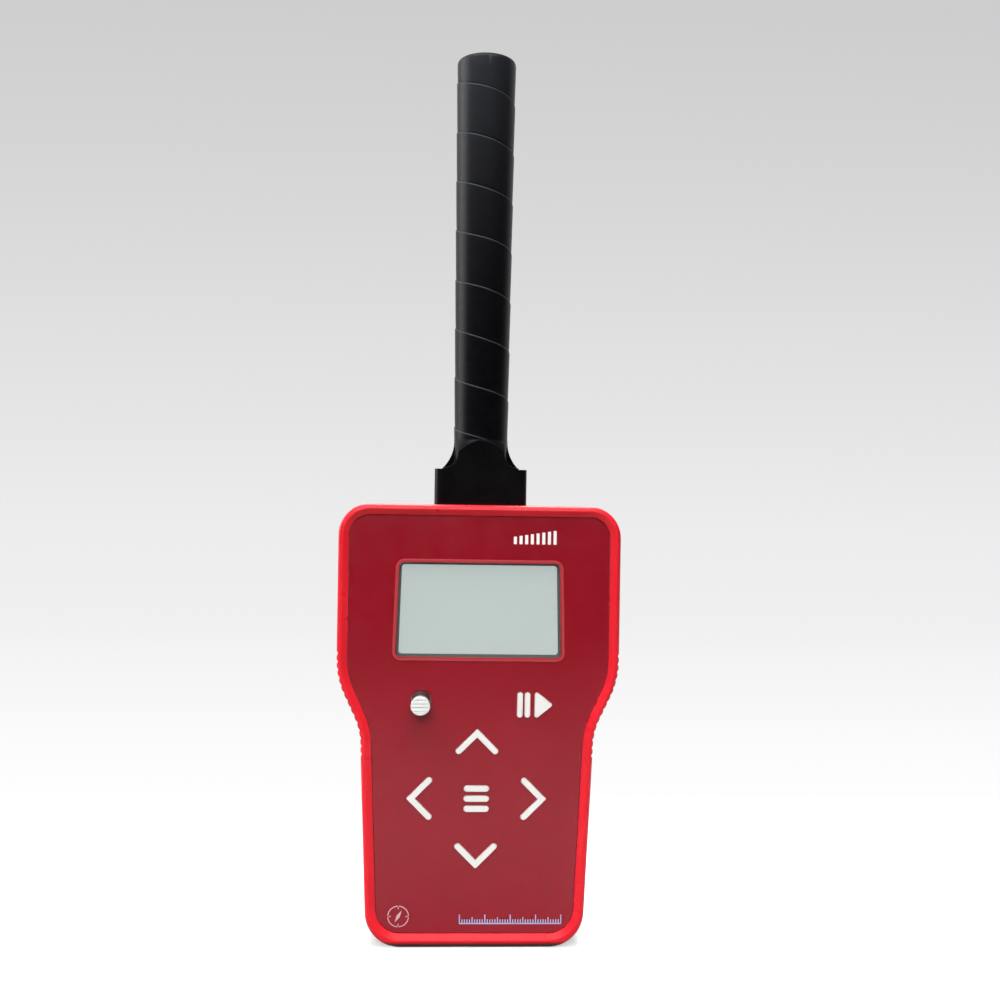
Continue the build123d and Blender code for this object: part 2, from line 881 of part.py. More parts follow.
with BuildPart() as buzzer:
    with BuildSketch(level(board_gap)):
        with Locations(buzzer_place):
            Circle(buzzer_radius)
    extrude(amount=-buzzer_thickness)
    with BuildSketch(level(board_gap - buzzer_thickness)):
        with Locations(buzzer_place):
            Circle(buzzer_hole_radius)
    extrude(amount=buzzer_thickness / 2, mode=Mode.SUBTRACT)
buzzer.part.label = "buzzer"
export_step(buzzer.part, "parts/buzzer.step")

# Battery door: a plate that swings on its round upper edge, held by two tabs under the shell
with BuildPart() as battery_door:
    with BuildSketch(Plane.YZ.offset(-door_half)):
        with BuildLine():
            Polyline(
                (door_inner, nose_height),
                (door_inner, door_base),
                (rear_face, door_base),
                (rear_face, nose_height),
            )
            ThreePointArc(
                (rear_face, nose_height), (nose_depth, nose_height + door_wall / 2), (door_inner, nose_height)
            )
        make_face()
    extrude(amount=2 * door_half)
    fillet(edges().filter_by(Axis.Y).group_by(Axis.Z)[0], door_corner)
    for side in (-1, 1):
        with BuildSketch(Plane.YZ.offset(side * tab_offset - tab_width / 2)):
            with BuildLine():
                Polyline(
                    (door_inner + tab_root, tab_base),
                    (door_inner + tab_root, tab_base + tab_stem),
                    (door_inner - tab_gap, tab_base + tab_stem),
                    (door_inner - tab_gap, opening_top + tab_reach),
                    (door_inner - tab_gap - tab_thickness, opening_top + tab_reach),
                    (door_inner - tab_gap - tab_thickness, tab_base),
                    close=True,
                )
            make_face()
        extrude(amount=tab_width)
    with BuildSketch(level(-rear_face)):
        with Locations((0, door_base + nail_notch_height)):
            Circle(nail_notch_radius)
            with Locations((0, nail_notch_radius / 2)):
                Rectangle(2 * nail_notch_radius, nail_notch_radius, mode=Mode.SUBTRACT)
    extrude(amount=nail_notch_depth, mode=Mode.SUBTRACT)
battery_door.part.label = "battery_door"
export_step(battery_door.part, "parts/battery_door.step")

# Battery cells, side by side and head to tail
with BuildPart() as battery_cells:
    for side, nub_up in ((-1, False), (1, True)):
        place = (side * cell_spacing / 2, cell_axis_depth)
        body_base = cell_base if nub_up else cell_base + cell_nub_length
        nub_base = cell_base + cell_length - cell_nub_length if nub_up else cell_base
        with BuildSketch(Plane.XY.offset(body_base)):
            with Locations(place):
                Circle(cell_radius)
        extrude(amount=cell_length - cell_nub_length)
        with BuildSketch(Plane.XY.offset(nub_base)):
            with Locations(place):
                Circle(cell_nub_radius)
        extrude(amount=cell_nub_length)
battery_cells.part.label = "battery_cells"
export_step(battery_cells.part, "parts/battery_cells.step")

# Battery contacts: a plate and a pressed tip at each end of each cell
with BuildPart() as battery_contacts:
    for side in (-1, 1):
        place = (side * cell_spacing / 2, cell_axis_depth)
        for wall, way in ((tub_base, 1), (partition_base, -1)):
            with BuildSketch(Plane.XY.offset(wall)):
                with Locations(place):
                    Rectangle(contact_width, contact_width)
            extrude(amount=way * contact_plate)
            with BuildSketch(Plane.XY.offset(wall)):
                with Locations(place):
                    Circle(contact_tip_radius)
            extrude(amount=way * (contact_room - contact_reach))
battery_contacts.part.label = "battery_contacts"
export_step(battery_contacts.part, "parts/battery_contacts.step")

# Case screws, in from the back, and the threaded inserts that take them
with BuildPart() as case_screws:
    with BuildSketch(level(-screw_seat)):
        with Locations(*case_screw_places):
            Circle(screw_head_radius)
    extrude(amount=-screw_head_height)
    with BuildSketch(level(-screw_seat)):
        with Locations(*case_screw_places):
            Circle(screw_radius)
    extrude(amount=screw_seat + insert_length)
case_screws.part.label = "case_screws"
export_step(case_screws.part, "parts/case_screws.step")

with BuildPart() as case_inserts:
    with BuildSketch(level(0)):
        with Locations(*case_screw_places):
            Circle(insert_radius)
            Circle(screw_radius + insert_gap, mode=Mode.SUBTRACT)
    extrude(amount=insert_length)
case_inserts.part.label = "case_inserts"
export_step(case_inserts.part, "parts/case_inserts.step")

# Board screws, into the standoffs of the front shell
with BuildPart() as board_screws:
    with BuildSketch(level(board_gap)):
        with Locations(*board_screw_places):
            Circle(board_screw_head_radius)
    extrude(amount=-board_screw_head_height)
    with BuildSketch(level(board_gap)):
        with Locations(*board_screw_places):
            Circle(board_screw_radius)
    extrude(amount=board_thickness + board_screw_length - insert_gap)
board_screws.part.label = "board_screws"
export_step(board_screws.part, "parts/board_screws.step")

# Flare of the neck: a plate with concave sides, its upper corners turned off by a cone
with BuildPart() as neck_flare:
    with BuildSketch(level(-neck_depth / 2)):
        with BuildLine():
            flare_edge = ThreePointArc(
                (flare_foot, flare_base),
                (flare_foot - flare_radius * math.sqrt(0.5), flare_centre - flare_radius * math.sqrt(0.5)),
                (flare_half, flare_centre),
            )
            rise = Line((flare_half, flare_centre), (flare_half, collar_top))
            root = Line((flare_foot, flare_base), (flare_foot, block_top - flare_root))
            mirror(flare_edge, about=Plane.YZ)
            mirror(rise, about=Plane.YZ)
            mirror(root, about=Plane.YZ)
            Line((-flare_half, collar_top), (flare_half, collar_top))
            Line((-flare_foot, block_top - flare_root), (flare_foot, block_top - flare_root))
        make_face()
    extrude(amount=neck_depth)
    with BuildSketch(Plane.XZ):
        with BuildLine():
            Polyline(
                (0, block_top - flare_root),
                (cone_base_radius, block_top - flare_root),
                (wrap_base_radius - flare_cone_inset, collar_top),
                (0, collar_top),
                close=True,
            )
        make_face()
    revolve(axis=Axis.Z, mode=Mode.INTERSECT)

# Probe neck: a flanged block, the flare and a round collar, with a gusset at each side
with BuildPart() as probe_neck:
    with BuildSketch(Plane.XY.offset(flange_base)):
        RectangleRounded(neck_flange_width, neck_flange_depth, neck_corner)
    extrude(amount=neck_flange_thickness)
    with BuildSketch(Plane.XY.offset(flange_top)):
        RectangleRounded(neck_width, neck_depth, neck_corner)
    extrude(amount=block_top - flange_top)
    add(neck_flare.part)
    with BuildSketch(Plane.XY.offset(block_top)):
        Circle(wrap_base_radius)
    extrude(amount=collar_height)
    with BuildSketch(level(-gusset_thickness / 2)):
        with BuildLine():
            gusset_edge = ThreePointArc(
                (gusset_foot, block_top),
                (gusset_middle, block_top + collar_height / 2),
                (wrap_base_radius, collar_top),
            )
            mirror(gusset_edge, about=Plane.YZ)
            Line((-gusset_foot, block_top), (gusset_foot, block_top))
            Line((-wrap_base_radius, collar_top), (wrap_base_radius, collar_top))
        make_face()
    extrude(amount=gusset_thickness)
    with BuildSketch(Plane.XY.offset(tube_base)):
        Circle(tube_radius + tube_gap)
    extrude(amount=collar_top - tube_base, mode=Mode.SUBTRACT)
    with BuildSketch(Plane.XY.offset(flange_base)):
        Circle(cable_hole_radius)
    extrude(amount=neck_floor, mode=Mode.SUBTRACT)
probe_neck.part.label = "probe_neck"
export_step(probe_neck.part, "parts/probe_neck.step")

# Gasket between the neck's flange and the top of the case
with BuildPart() as neck_gasket:
    with BuildSketch(Plane.XY.offset(flange_top)):
        RectangleRounded(neck_flange_width, neck_flange_depth, neck_corner)
        add(neck_opening(), mode=Mode.SUBTRACT)
    extrude(amount=gasket_thickness)
neck_gasket.part.label = "neck_gasket"
export_step(neck_gasket.part, "parts/neck_gasket.step")

# Probe tube and the plug that closes it
with BuildPart() as probe_tube:
    with BuildSketch(Plane.XY.offset(tube_base)):
        Circle(tube_radius)
        Circle(tube_bore, mode=Mode.SUBTRACT)
    extrude(amount=tube_top - tube_base)
probe_tube.part.label = "probe_tube"
export_step(probe_tube.part, "parts/probe_tube.step")

with BuildPart() as probe_cap:
    with BuildSketch(Plane.XY.offset(tube_top)):
        Circle(tube_radius)
    extrude(amount=cap_thickness)
    with BuildSketch(Plane.XY.offset(spigot_base)):
        Circle(tube_bore - tube_gap)
    extrude(amount=cap_spigot)
probe_cap.part.label = "probe_cap"
export_step(probe_cap.part, "parts/probe_cap.step")

# Probe wrap: one tape wound down the tube, left-handed, with a narrow gap between its turns
with BuildPart() as probe_wrap:
    with BuildSketch(Plane.XZ):
        with BuildLine():
            Polyline(
                (tube_radius + wrap_seat, collar_top + wrap_seat),
                (wrap_base_radius, collar_top + wrap_seat),
                (wrap_tip_radius, probe_top),
                (tube_radius + wrap_seat, probe_top),
                close=True,
            )
        make_face()
        fillet(vertices().sort_by(Axis.Y)[-2:].sort_by(Axis.X)[-1], wrap_edge)
    revolve(axis=Axis.Z)
    with BuildLine() as seam:
        Helix(wrap_pitch, seam_length, wrap_base_radius, center=(0, 0, seam_base), lefthand=True)
    with BuildSketch(Plane(origin=(wrap_base_radius, 0, seam_base), x_dir=(1, 0, 0), z_dir=(0, -1, 0))):
        Rectangle(2 * (wrap_tip_radius - tube_radius + wrap_seat), wrap_gap)
    sweep(path=seam.line, is_frenet=True, mode=Mode.SUBTRACT)
probe_wrap.part.label = "probe_wrap"
export_step(probe_wrap.part, "parts/probe_wrap.step")

# Sensor: bobbin, core and coil near the tip, then the sensor board, between two foam spacers
with BuildPart() as sensor_bobbin:
    with BuildSketch(Plane.XY.offset(bobbin_base)):
        Circle(bobbin_radius)
    extrude(amount=bobbin_length)
    for flange_height in (bobbin_base, bobbin_top - bobbin_flange):
        with BuildSketch(Plane.XY.offset(flange_height)):
            Circle(tube_bore - sensor_gap)
        extrude(amount=bobbin_flange)
    with BuildSketch(Plane.XY.offset(bobbin_base)):
        Circle(core_radius + core_gap)
    extrude(amount=bobbin_length, mode=Mode.SUBTRACT)
sensor_bobbin.part.label = "sensor_bobbin"
export_step(sensor_bobbin.part, "parts/sensor_bobbin.step")

with BuildPart() as sensor_coil:
    with BuildSketch(Plane.XY.offset(bobbin_base + bobbin_flange + coil_gap)):
        Circle(coil_radius)
        Circle(bobbin_radius + coil_gap, mode=Mode.SUBTRACT)
    extrude(amount=bobbin_length - 2 * (bobbin_flange + coil_gap))
sensor_coil.part.label = "sensor_coil"
export_step(sensor_coil.part, "parts/sensor_coil.step")

with BuildPart() as sensor_core:
    with BuildSketch(Plane.XY.offset(bobbin_base)):
        Circle(core_radius)
    extrude(amount=bobbin_length)
sensor_core.part.label = "sensor_core"
export_step(sensor_core.part, "parts/sensor_core.step")

with BuildPart() as sensor_board:
    with BuildSketch(Plane.XY.offset(sensor_board_base)):
        Rectangle(2 * (tube_bore - sensor_gap), sensor_board_thickness)
    extrude(amount=sensor_board_length)
sensor_board.part.label = "sensor_board"
export_step(sensor_board.part, "parts/sensor_board.step")

with BuildPart() as sensor_spacers:
    with BuildSketch(Plane.XY.offset(bobbin_top + spacer_gap)):
        Circle(tube_bore - spacer_gap)
    extrude(amount=spacer_height)
    with BuildSketch(Plane.XY.offset(sensor_board_base - spacer_gap - spacer_height)):
        Circle(tube_bore - spacer_gap)
        Circle(cable_radius + spacer_gap, mode=Mode.SUBTRACT)
    extrude(amount=spacer_height)
sensor_spacers.part.label = "sensor_spacers"
export_step(sensor_spacers.part, "parts/sensor_spacers.step")

# Sensor cable, down the probe and over to its plug on the board
with BuildPart() as sensor_cable:
    with BuildLine() as route:
        FilletPolyline(*cable_points, radius=cable_bends)
    with BuildSketch(Plane(origin=cable_points[0], z_dir=(0, 0, -1))):
        Circle(cable_radius)
    sweep(path=route.wires()[0])
sensor_cable.part.label = "sensor_cable"
export_step(sensor_cable.part, "parts/sensor_cable.step")

with BuildPart() as sensor_plug:
    with BuildSketch(level(board_gap)):
        with Locations((plug_offset, plug_top - plug_tall / 2)):
            Rectangle(plug_width, plug_tall)
    extrude(amount=-plug_depth)
sensor_plug.part.label = "sensor_plug"
export_step(sensor_plug.part, "parts/sensor_plug.step")

print("Least gap between the turns of the wrap:", round(least_wrap_gap(), 3), "mm")
print("Cable bends:", [round(bend, 1) for bend in cable_bends], "mm")
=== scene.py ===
"""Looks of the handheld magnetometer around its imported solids.

Finishes, tape, print, screws, studio and camera. Metres, in the frame of the solids: X is the width,
Z runs up the probe and the front faces -Y.
"""
import json
import math

import bmesh
import bpy
from mathutils import Matrix, Vector


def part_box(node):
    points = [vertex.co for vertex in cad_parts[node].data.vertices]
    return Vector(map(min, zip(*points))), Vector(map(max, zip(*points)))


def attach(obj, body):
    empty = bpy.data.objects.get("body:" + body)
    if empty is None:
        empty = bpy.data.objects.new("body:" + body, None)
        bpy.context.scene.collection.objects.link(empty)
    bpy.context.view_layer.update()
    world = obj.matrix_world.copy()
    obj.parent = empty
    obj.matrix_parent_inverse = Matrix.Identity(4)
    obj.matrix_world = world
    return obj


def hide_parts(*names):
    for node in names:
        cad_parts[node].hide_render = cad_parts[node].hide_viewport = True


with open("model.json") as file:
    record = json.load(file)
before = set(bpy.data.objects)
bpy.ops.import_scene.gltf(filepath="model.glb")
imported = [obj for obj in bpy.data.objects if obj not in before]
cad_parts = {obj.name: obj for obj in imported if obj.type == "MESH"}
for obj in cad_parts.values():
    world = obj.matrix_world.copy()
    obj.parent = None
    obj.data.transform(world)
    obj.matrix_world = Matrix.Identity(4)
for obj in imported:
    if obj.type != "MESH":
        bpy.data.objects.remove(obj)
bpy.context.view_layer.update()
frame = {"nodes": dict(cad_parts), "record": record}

MM = 0.001

# Tape on the probe, in millimetres; each wave of its edge has a share, a rate and a phase
tape_base = 183.0
tape_top = 324.3
tape_base_radius = 9.9
tape_top_radius = 10.9
tape_top_round = 1.6
tape_pitch = 18.3
tape_seam_drop = 8.1
tape_steps = 120
tape_fade = 3.0
tape_thickness = 0.3
tape_waver = 0.12
tape_waves = ((1.0, 2.3, 0.4), (0.6, 0.71, 0.0))
tape_spare_turns = 2
tape_sunk_offset = -0.14
tape_round_cuts = (1.0, 0.7, 0.45, 0.25, 0.1, 0.03)

# Section of the tape: drop from its upper edge and offset from the mean radius, in millimetres, and lap
# shade: above 0 a painted highlight on the lap edge, below 0 painted shade in the crease just above each lap
# edge
tape_outside = [
    (0.0, -0.14, 0.3), (0.08, -0.02, 1.0), (0.22, 0.08, 1.0), (0.4, 0.12, 0.6), (0.7, 0.13, 0.0),
    (3.0, 0.1, 0.0), (7.0, 0.05, 0.0), (11.0, 0.0, 0.0), (15.0, -0.06, 0.0), (17.4, -0.11, 0.0),
    (17.8, -0.13, -0.6), (18.2, -0.14, -1.0), (19.2, -0.16, -1.0),
]
tape_inside = [(19.2, -0.45, 0.0), (1.4, -0.45, 0.0), (1.1, -0.15, 0.0)]

# Print on the panel, with the window's painted highlight line and bevel, in millimetres
film_front = 15.5
ink_thickness = 0.03
window_centre = 121.1
window_top_width = 57.9
window_base_width = 59.7
window_height = 34.1
window_corner = 2.0
frame_width = 1.0
frame_height = 0.25
line_width = 0.5
line_height = 0.06
line_sink = 0.12
line_foot_sink = 0.05
band_inset = 0.1
band_drop = 0.5
band_edge = 0.12
band_inner_rise = 0.02
band_outer_rise = 0.03

# Level bars on the panel, in millimetres
level_count = 8
level_left = 12.6
level_middle = 146.5
level_pitch = 2.05
level_width = 1.1
level_least = 2.7
level_growth = 0.32

# Tick scale on the panel, in millimetres
tick_count = 41
tick_left = -5.4
tick_base = 8.35
tick_pitch = 0.915
tick_width = 0.34
tick_round = 0.12
tick_long = 3.2
tick_middle = 2.3
tick_short = 1.5
tick_line_middle = 12.9
tick_line_length = 36.8
tick_line_width = 0.36

# Compass sign on the panel, in millimetres and degrees
dial_x = -27.4
dial_z = 10.9
dial_radius = 3.7
dial_stroke = 0.32
dial_gap = 3
mark_radius = 3.0
mark_width = 0.3
mark_extra = 0.5
mark_round = 0.1
needle_lean = 60
needle_reach = 2.5
needle_half_width = 0.6

# Push button: height of its middle, pitch of its grooves and depth of its bright head, in millimetres
button_height = 88.5
button_pitch = 1.35
button_head = 2.4

# Height up to which the neck's edges get a painted highlight, in millimetres
neck_highlight_top = 178.5

# Height of the painted shade on the case's foot, in millimetres
foot_height = 2.5

# Screws, in millimetres; the crown has shares of the head's radius and drops from its top
screw_seat = 11.1
screw_head_radius = 2.75
screw_head_height = 2.0
screw_crown = ((0.99, 0.95), (0.94, 0.55), (0.8, 0.2))
screw_radius = 1.45
screw_length = 8.0
thread_depth = 0.25
thread_step = 0.4
thread_steps = 20
screw_facets = 48
recess_arm = 1.45
recess_half_width = 0.36
recess_drop = 0.05
recess_depth = 1.0
recess_taper = 0.7
screw_places = ((-39.85, 145.5), (39.85, 145.5), (-20.0, 8.6), (20.0, 8.6))

# Scales of the noise in the moulded finishes, per metre
mottle_scale = 60
gloss_scale = 160
edge_wear_highlight_scale = 900
fine_scale = 2600

# Camera: the photograph's frame is 1000 pixels square; the eye is in metres, the angles in degrees
frame_pixels = 1000
focal_pixels = 1142
sensor_width = 36.0
eye = (-0.012, -0.4265, 0.16125)
camera_yaw = 2.623
camera_pitch = -0.039
camera_roll = 0.913

# Studio sweep: depths from the object, in metres
sweep_front = -1.3
sweep_bend = 0.9
sweep_radius = 0.4
sweep_height = 2.4
sweep_half_width = 4.0
sweep_rows = (-0.4, 0.0, 0.2, 0.5)
sweep_bend_steps = 24
sweep_drop = 0.05 * MM

# Sweep's greys by the length along it, and where the floor goes over into them, in metres
sweep_greys = ((0.16, 255), (0.5, 247), (1.21, 237), (1.74, 215), (2.05, 205))
sweep_span = 2.2
floor_end = 0.06
backdrop_start = 0.2

# Sweep's shares of light, and the lengths along it between which mirrors come to see it
floor_share = 0.6
floor_glow = 0.45
bounce_share = 0.03
mirrored_from = -0.95
mirrored_fully = -0.1

# Room light: where it comes from, and its strengths
room_light_from = (-0.6, 0.4, 0.69)
room_dark_side = -0.5
room_bright_side = 0.8
room_dark = 0.02
room_bright = 0.2
room_seen = 0.75


def tint(red, green, blue):
    """Scene colour of an sRGB colour given in 0 to 255."""
    shares = (red / 255, green / 255, blue / 255)
    linear = [share / 12.92 if share <= 0.04045 else ((share + 0.055) / 1.055) ** 2.4 for share in shares]
    return (*linear, 1.0)


class Nodes:
    """The nodes of a material or a world, with short ways to add and link them."""

    def __init__(self, owner):
        owner.use_nodes = True
        self.tree = owner.node_tree

    def node(self, kind, **values):
        """A new node with its settings."""
        made = self.tree.nodes.new("ShaderNode" + kind)
        for key, value in values.items():
            setattr(made, key, value)
        return made

    def link(self, output, target):
        self.tree.links.new(output, target)

    def attribute(self, name):
        """A value kept on the points of a mesh."""
        return self.node("Attribute", attribute_name=name).outputs["Fac"]

    def spread(self, value, low, high, start=0.0, end=1.0, **values):
        """The value's span from start to end, brought to low and high."""
        ranged = self.node("MapRange", **values)
        for socket, number in (("From Min", start), ("From Max", end), ("To Min", low), ("To Max", high)):
            ranged.inputs[socket].default_value = number
        self.link(value, ranged.inputs["Value"])
        return ranged.outputs["Result"]

    def math(self, operation, first, second):
        """Result of a sum on plain numbers or the values of other nodes."""
        made = self.node("Math", operation=operation)
        for socket, value in zip(made.inputs, (first, second)):
            if isinstance(value, float):
                socket.default_value = value
            else:
                self.link(value, socket)
        return made.outputs["Value"]

    def matt(self, share):
        """Matt shader that gives back a share of the light."""
        made = self.node("BsdfDiffuse")
        made.inputs["Color"].default_value = (share, share, share, 1)
        return made.outputs["BSDF"]

    def mixed(self, share, first, second):
        """Shader that goes from the first to the second."""
        made = self.node("MixShader")
        self.link(share, made.inputs["Fac"])
        self.link(first, made.inputs[1])
        self.link(second, made.inputs[2])
        return made.outputs["Shader"]


class Surface(Nodes):
    """A material on one principled shader, with the nodes that give it grain, mottle, and edge masks for wear
    and painted highlights.
    """

    def __init__(self, name, colour, roughness, **sockets):
        self.material = bpy.data.materials.new(name)
        super().__init__(self.material)
        self.shader = self.tree.nodes["Principled BSDF"]
        self.set("Base Color", colour)
        self.set("Roughness", roughness)
        for socket, value in sockets.items():
            self.set(socket.replace("_", " ").title().replace("Ior", "IOR"), value)
        self.place = self.node("TexCoord").outputs["Object"]
        self.normal = None

    def set(self, socket, value):
        self.shader.inputs[socket].default_value = value

    def stretched(self, stretch):
        """The object's coordinates, scaled along each axis."""
        mapping = self.node("Mapping")
        mapping.inputs["Scale"].default_value = stretch
        self.link(self.place, mapping.inputs["Vector"])
        return mapping.outputs["Vector"]

    def noise(self, scale, detail=3.0, stretch=(1, 1, 1)):
        """Soft noise, which may be scaled along each axis."""
        texture = self.node("TexNoise")
        texture.inputs["Scale"].default_value = scale
        texture.inputs["Detail"].default_value = detail
        self.link(self.stretched(stretch), texture.inputs["Vector"])
        return texture.outputs["Fac"]

    def cells(self, scale):
        """Small cells: the distance to the middle of the nearest."""
        texture = self.node("TexVoronoi")
        texture.inputs["Scale"].default_value = scale
        self.link(self.place, texture.inputs["Vector"])
        return texture.outputs["Distance"]

    def wave(self, scale, direction, distortion=0.0):
        """Even bands along one axis, bent where a distortion is given."""
        texture = self.node("TexWave", bands_direction=direction)
        texture.inputs["Scale"].default_value = scale
        texture.inputs["Distortion"].default_value = distortion
        self.link(self.place, texture.inputs["Vector"])
        return texture.outputs["Fac"]

    def along(self, axis):
        """One coordinate of the object, in metres."""
        split = self.node("SeparateXYZ")
        self.link(self.place, split.inputs["Vector"])
        return split.outputs[axis]

    def colour(self, factor, first, second):
        """Base colour that goes from the first to the second, over what the colour already is."""
        mixed = self.node("Mix", data_type="RGBA")
        source = self.shader.inputs["Base Color"]
        inputs = [socket for socket in mixed.inputs if socket.type == "RGBA"]
        if source.is_linked and first is None:
            self.link(source.links[0].from_socket, inputs[0])
        else:
            inputs[0].default_value = first or tuple(source.default_value)
        inputs[1].default_value = second
        self.link(factor, mixed.inputs[0])
        self.link([socket for socket in mixed.outputs if socket.type == "RGBA"][0], source)

    def mottle(self, scale, first, second, start=0.3, end=0.7):
        """Base colour that wanders between two colours."""
        self.colour(self.spread(self.noise(scale), 0.0, 1.0, start, end), first, second)

    def gloss(self, value, low, high, start=0.3, end=0.7):
        """Roughness that goes from low to high with the value."""
        self.link(self.spread(value, low, high, start, end), self.shader.inputs["Roughness"])

    def bump(self, height, strength, depth):
        """Relief of the height, its depth in millimetres, over the relief that is there."""
        made = self.node("Bump")
        made.inputs["Strength"].default_value = strength
        made.inputs["Distance"].default_value = depth * MM
        self.link(height, made.inputs["Height"])
        if self.normal:
            self.link(self.normal, made.inputs["Normal"])
        self.normal = made.outputs["Normal"]
        self.link(self.normal, self.shader.inputs["Normal"])

    def soft_edges(self, radius):
        """Rounded look for edges that are sharp in the mesh, the radius in millimetres."""
        made = self.node("Bevel", samples=4)
        made.inputs["Radius"].default_value = radius * MM
        self.normal = made.outputs["Normal"]
        self.link(self.normal, self.shader.inputs["Normal"])

    def edge_mask(self, radius):
        """1 along edges and 0 on flat faces, the radius in millimetres."""
        rounded = self.node("Bevel", samples=4)
        rounded.inputs["Radius"].default_value = radius * MM
        flat = self.node("NewGeometry").outputs["Normal"]
        dot = self.node("VectorMath", operation="DOT_PRODUCT")
        self.link(rounded.outputs["Normal"], dot.inputs[0])
        self.link(flat, dot.inputs[1])
        return self.spread(dot.outputs["Value"], 1.0, 0.0, 0.8, 0.99)


def moulded(name, colour, shade, roughness, grain_size=0.4, grain_depth=0.02, wear_and_highlight=None, edge=0.15,
            highlight_below=None, foot=None, **sockets):
    """Moulded plastic or rubber: fine spark grain, slow mottle and uneven gloss.

    Where asked, its edges change colour up to a height, as wear on most finishes and as a painted highlight
    on the neck, and its foot gets painted shade, darker towards the floor.
    """
    made = Surface(name, colour, roughness, **sockets)
    made.soft_edges(edge)
    made.mottle(mottle_scale, colour, shade)
    # Edge colour: wear on most finishes, a painted highlight on the neck's edges
    if wear_and_highlight:
        edge_wear_and_highlight = made.math("MULTIPLY", made.edge_mask(0.25), made.noise(edge_wear_highlight_scale))
        if highlight_below:
            edge_wear_and_highlight = made.math("MULTIPLY", edge_wear_and_highlight, made.math("LESS_THAN", made.along("Z"), highlight_below * MM))
        made.colour(edge_wear_and_highlight, None, wear_and_highlight)
    # Painted shade: the foot goes dark towards the floor
    if foot:
        height, foot_shade = foot
        made.colour(made.spread(made.along("Z"), 1.0, 0.0, 0.5 * height * MM, height * MM), None, foot_shade)
    made.gloss(made.noise(gloss_scale), roughness - 0.06, roughness + 0.06)
    made.bump(made.cells(1 / (grain_size * MM)), 0.35, grain_depth)
    made.bump(made.noise(fine_scale), 0.25, grain_depth)
    return made.material


def metal(name, colour, shade, roughness, brush, brush_scale=1500):
    """Metal with drawn or turned marks along one direction and a little uneven gloss."""
    made = Surface(name, colour, roughness, metallic=1.0)
    made.soft_edges(0.08)
    made.mottle(400, colour, shade, 0.35, 0.65)
    made.gloss(made.noise(brush_scale, 4.0, brush), roughness - 0.08, roughness + 0.1)
    made.bump(made.noise(brush_scale, 4.0, brush), 0.3, 0.02)
    return made.material


def soft_red():
    """Soft rim of the case, with painted shade in the round of its foot."""
    return moulded("soft_red", tint(230, 36, 49), tint(222, 31, 44), 0.32, grain_size=0.3, grain_depth=0.02,
                   wear_and_highlight=tint(236, 58, 70), foot=(foot_height, tint(30, 5, 5)), specular_ior_level=0.2)


def panel_film():
    """Printed film: fine matt texture under a faint satin, with a slow unevenness."""
    made = Surface("panel_film", tint(138, 10, 28), 0.2, specular_ior_level=0.3)
    made.mottle(45, tint(136, 9, 27), tint(142, 12, 31))
    made.gloss(made.noise(220), 0.17, 0.24)
    made.bump(made.noise(3200), 0.12, 0.02)
    made.bump(made.cells(2200), 0.1, 0.015)
    return made.material


def shell_red():
    return moulded("shell_red", tint(142, 16, 32), tint(132, 13, 28), 0.5, grain_size=0.45, grain_depth=0.03,
                   wear_and_highlight=tint(160, 40, 52))


def key_white():
    return moulded("key_white", tint(235, 233, 229), tint(230, 227, 222), 0.5, grain_size=0.35,
                   grain_depth=0.012, wear_and_highlight=tint(222, 218, 211), specular_ior_level=0.3)


def mat_grey():
    return moulded("mat_grey", tint(150, 151, 153), tint(140, 141, 143), 0.6)


def button_metal():
    """Push button: a bright head with painted shade in the grooves across it, on a barrel that is darker near
    the head, its own grey with painted shade, and lighter towards its root with painted light.
    """
    low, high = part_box("power_button")
    made = Surface("button_metal", tint(240, 240, 238), 0.4, metallic=0.45)
    made.soft_edges(0.08)
    brush = made.noise(900, 4.0, (1, 0.2, 12))
    made.colour(made.spread(brush, 0.0, 1.0, 0.35, 0.65), tint(224, 224, 222), tint(208, 208, 207))
    count = made.math("DIVIDE", made.math("SUBTRACT", made.along("Z"), button_height * MM), button_pitch * MM)
    nearest = made.math("ABSOLUTE", made.math("SUBTRACT", made.math("FRACT", count, 0.0), 0.5), 0.0)
    # Painted shade in the grooves across the button
    groove_shade = made.spread(nearest, 0.4, 0.0, 0.0, 0.2)
    made.colour(groove_shade, None, tint(128, 128, 128))
    depth = made.along("Y")
    # The barrel: its own darker grey, with painted shade under the head
    barrel = made.math("GREATER_THAN", depth, low.y + button_head * MM)
    made.colour(barrel, None, tint(70, 69, 69))
    # Painted light on the barrel towards its root
    root_light = made.spread(depth, 0.0, 1.0, low.y + 0.5 * (high.y - low.y), high.y)
    made.colour(root_light, None, tint(190, 189, 187))
    made.gloss(brush, 0.32, 0.5)
    made.bump(brush, 0.3, 0.02)
    return made.material


def clear_lens():
    """Clear window, thin enough to pass light straight: mostly see-through, with faint wipe marks."""
    made = Surface("clear_lens", tint(236, 242, 241), 0.1, alpha=0.05, ior=1.49)
    made.gloss(made.noise(240, 4.0, (1, 1, 3)), 0.06, 0.16)
    made.bump(made.noise(90), 0.05, 0.02)
    return made.material


def display_grey():
    """Reflective display: pale grey with a faint grid of dots and a slow unevenness; its glow is painted
    light that evens out the shade at its top.
    """
    # Its emission is painted light.
    made = Surface("display_grey", tint(85, 92, 90), 0.35, specular_ior_level=0.1,
                   emission_color=tint(176, 187, 184), emission_strength=0.9)
    made.mottle(30, tint(83, 90, 88), tint(88, 95, 93))
    rows = made.wave(350, "Z")
    columns = made.wave(350, "X")
    grid = made.math("MAXIMUM", rows, columns)
    made.colour(made.spread(grid, 0.0, 0.2, 0.9, 1.0), None, tint(70, 77, 75))
    made.gloss(made.noise(120), 0.3, 0.4)
    made.bump(grid, 0.05, 0.01)
    return made.material


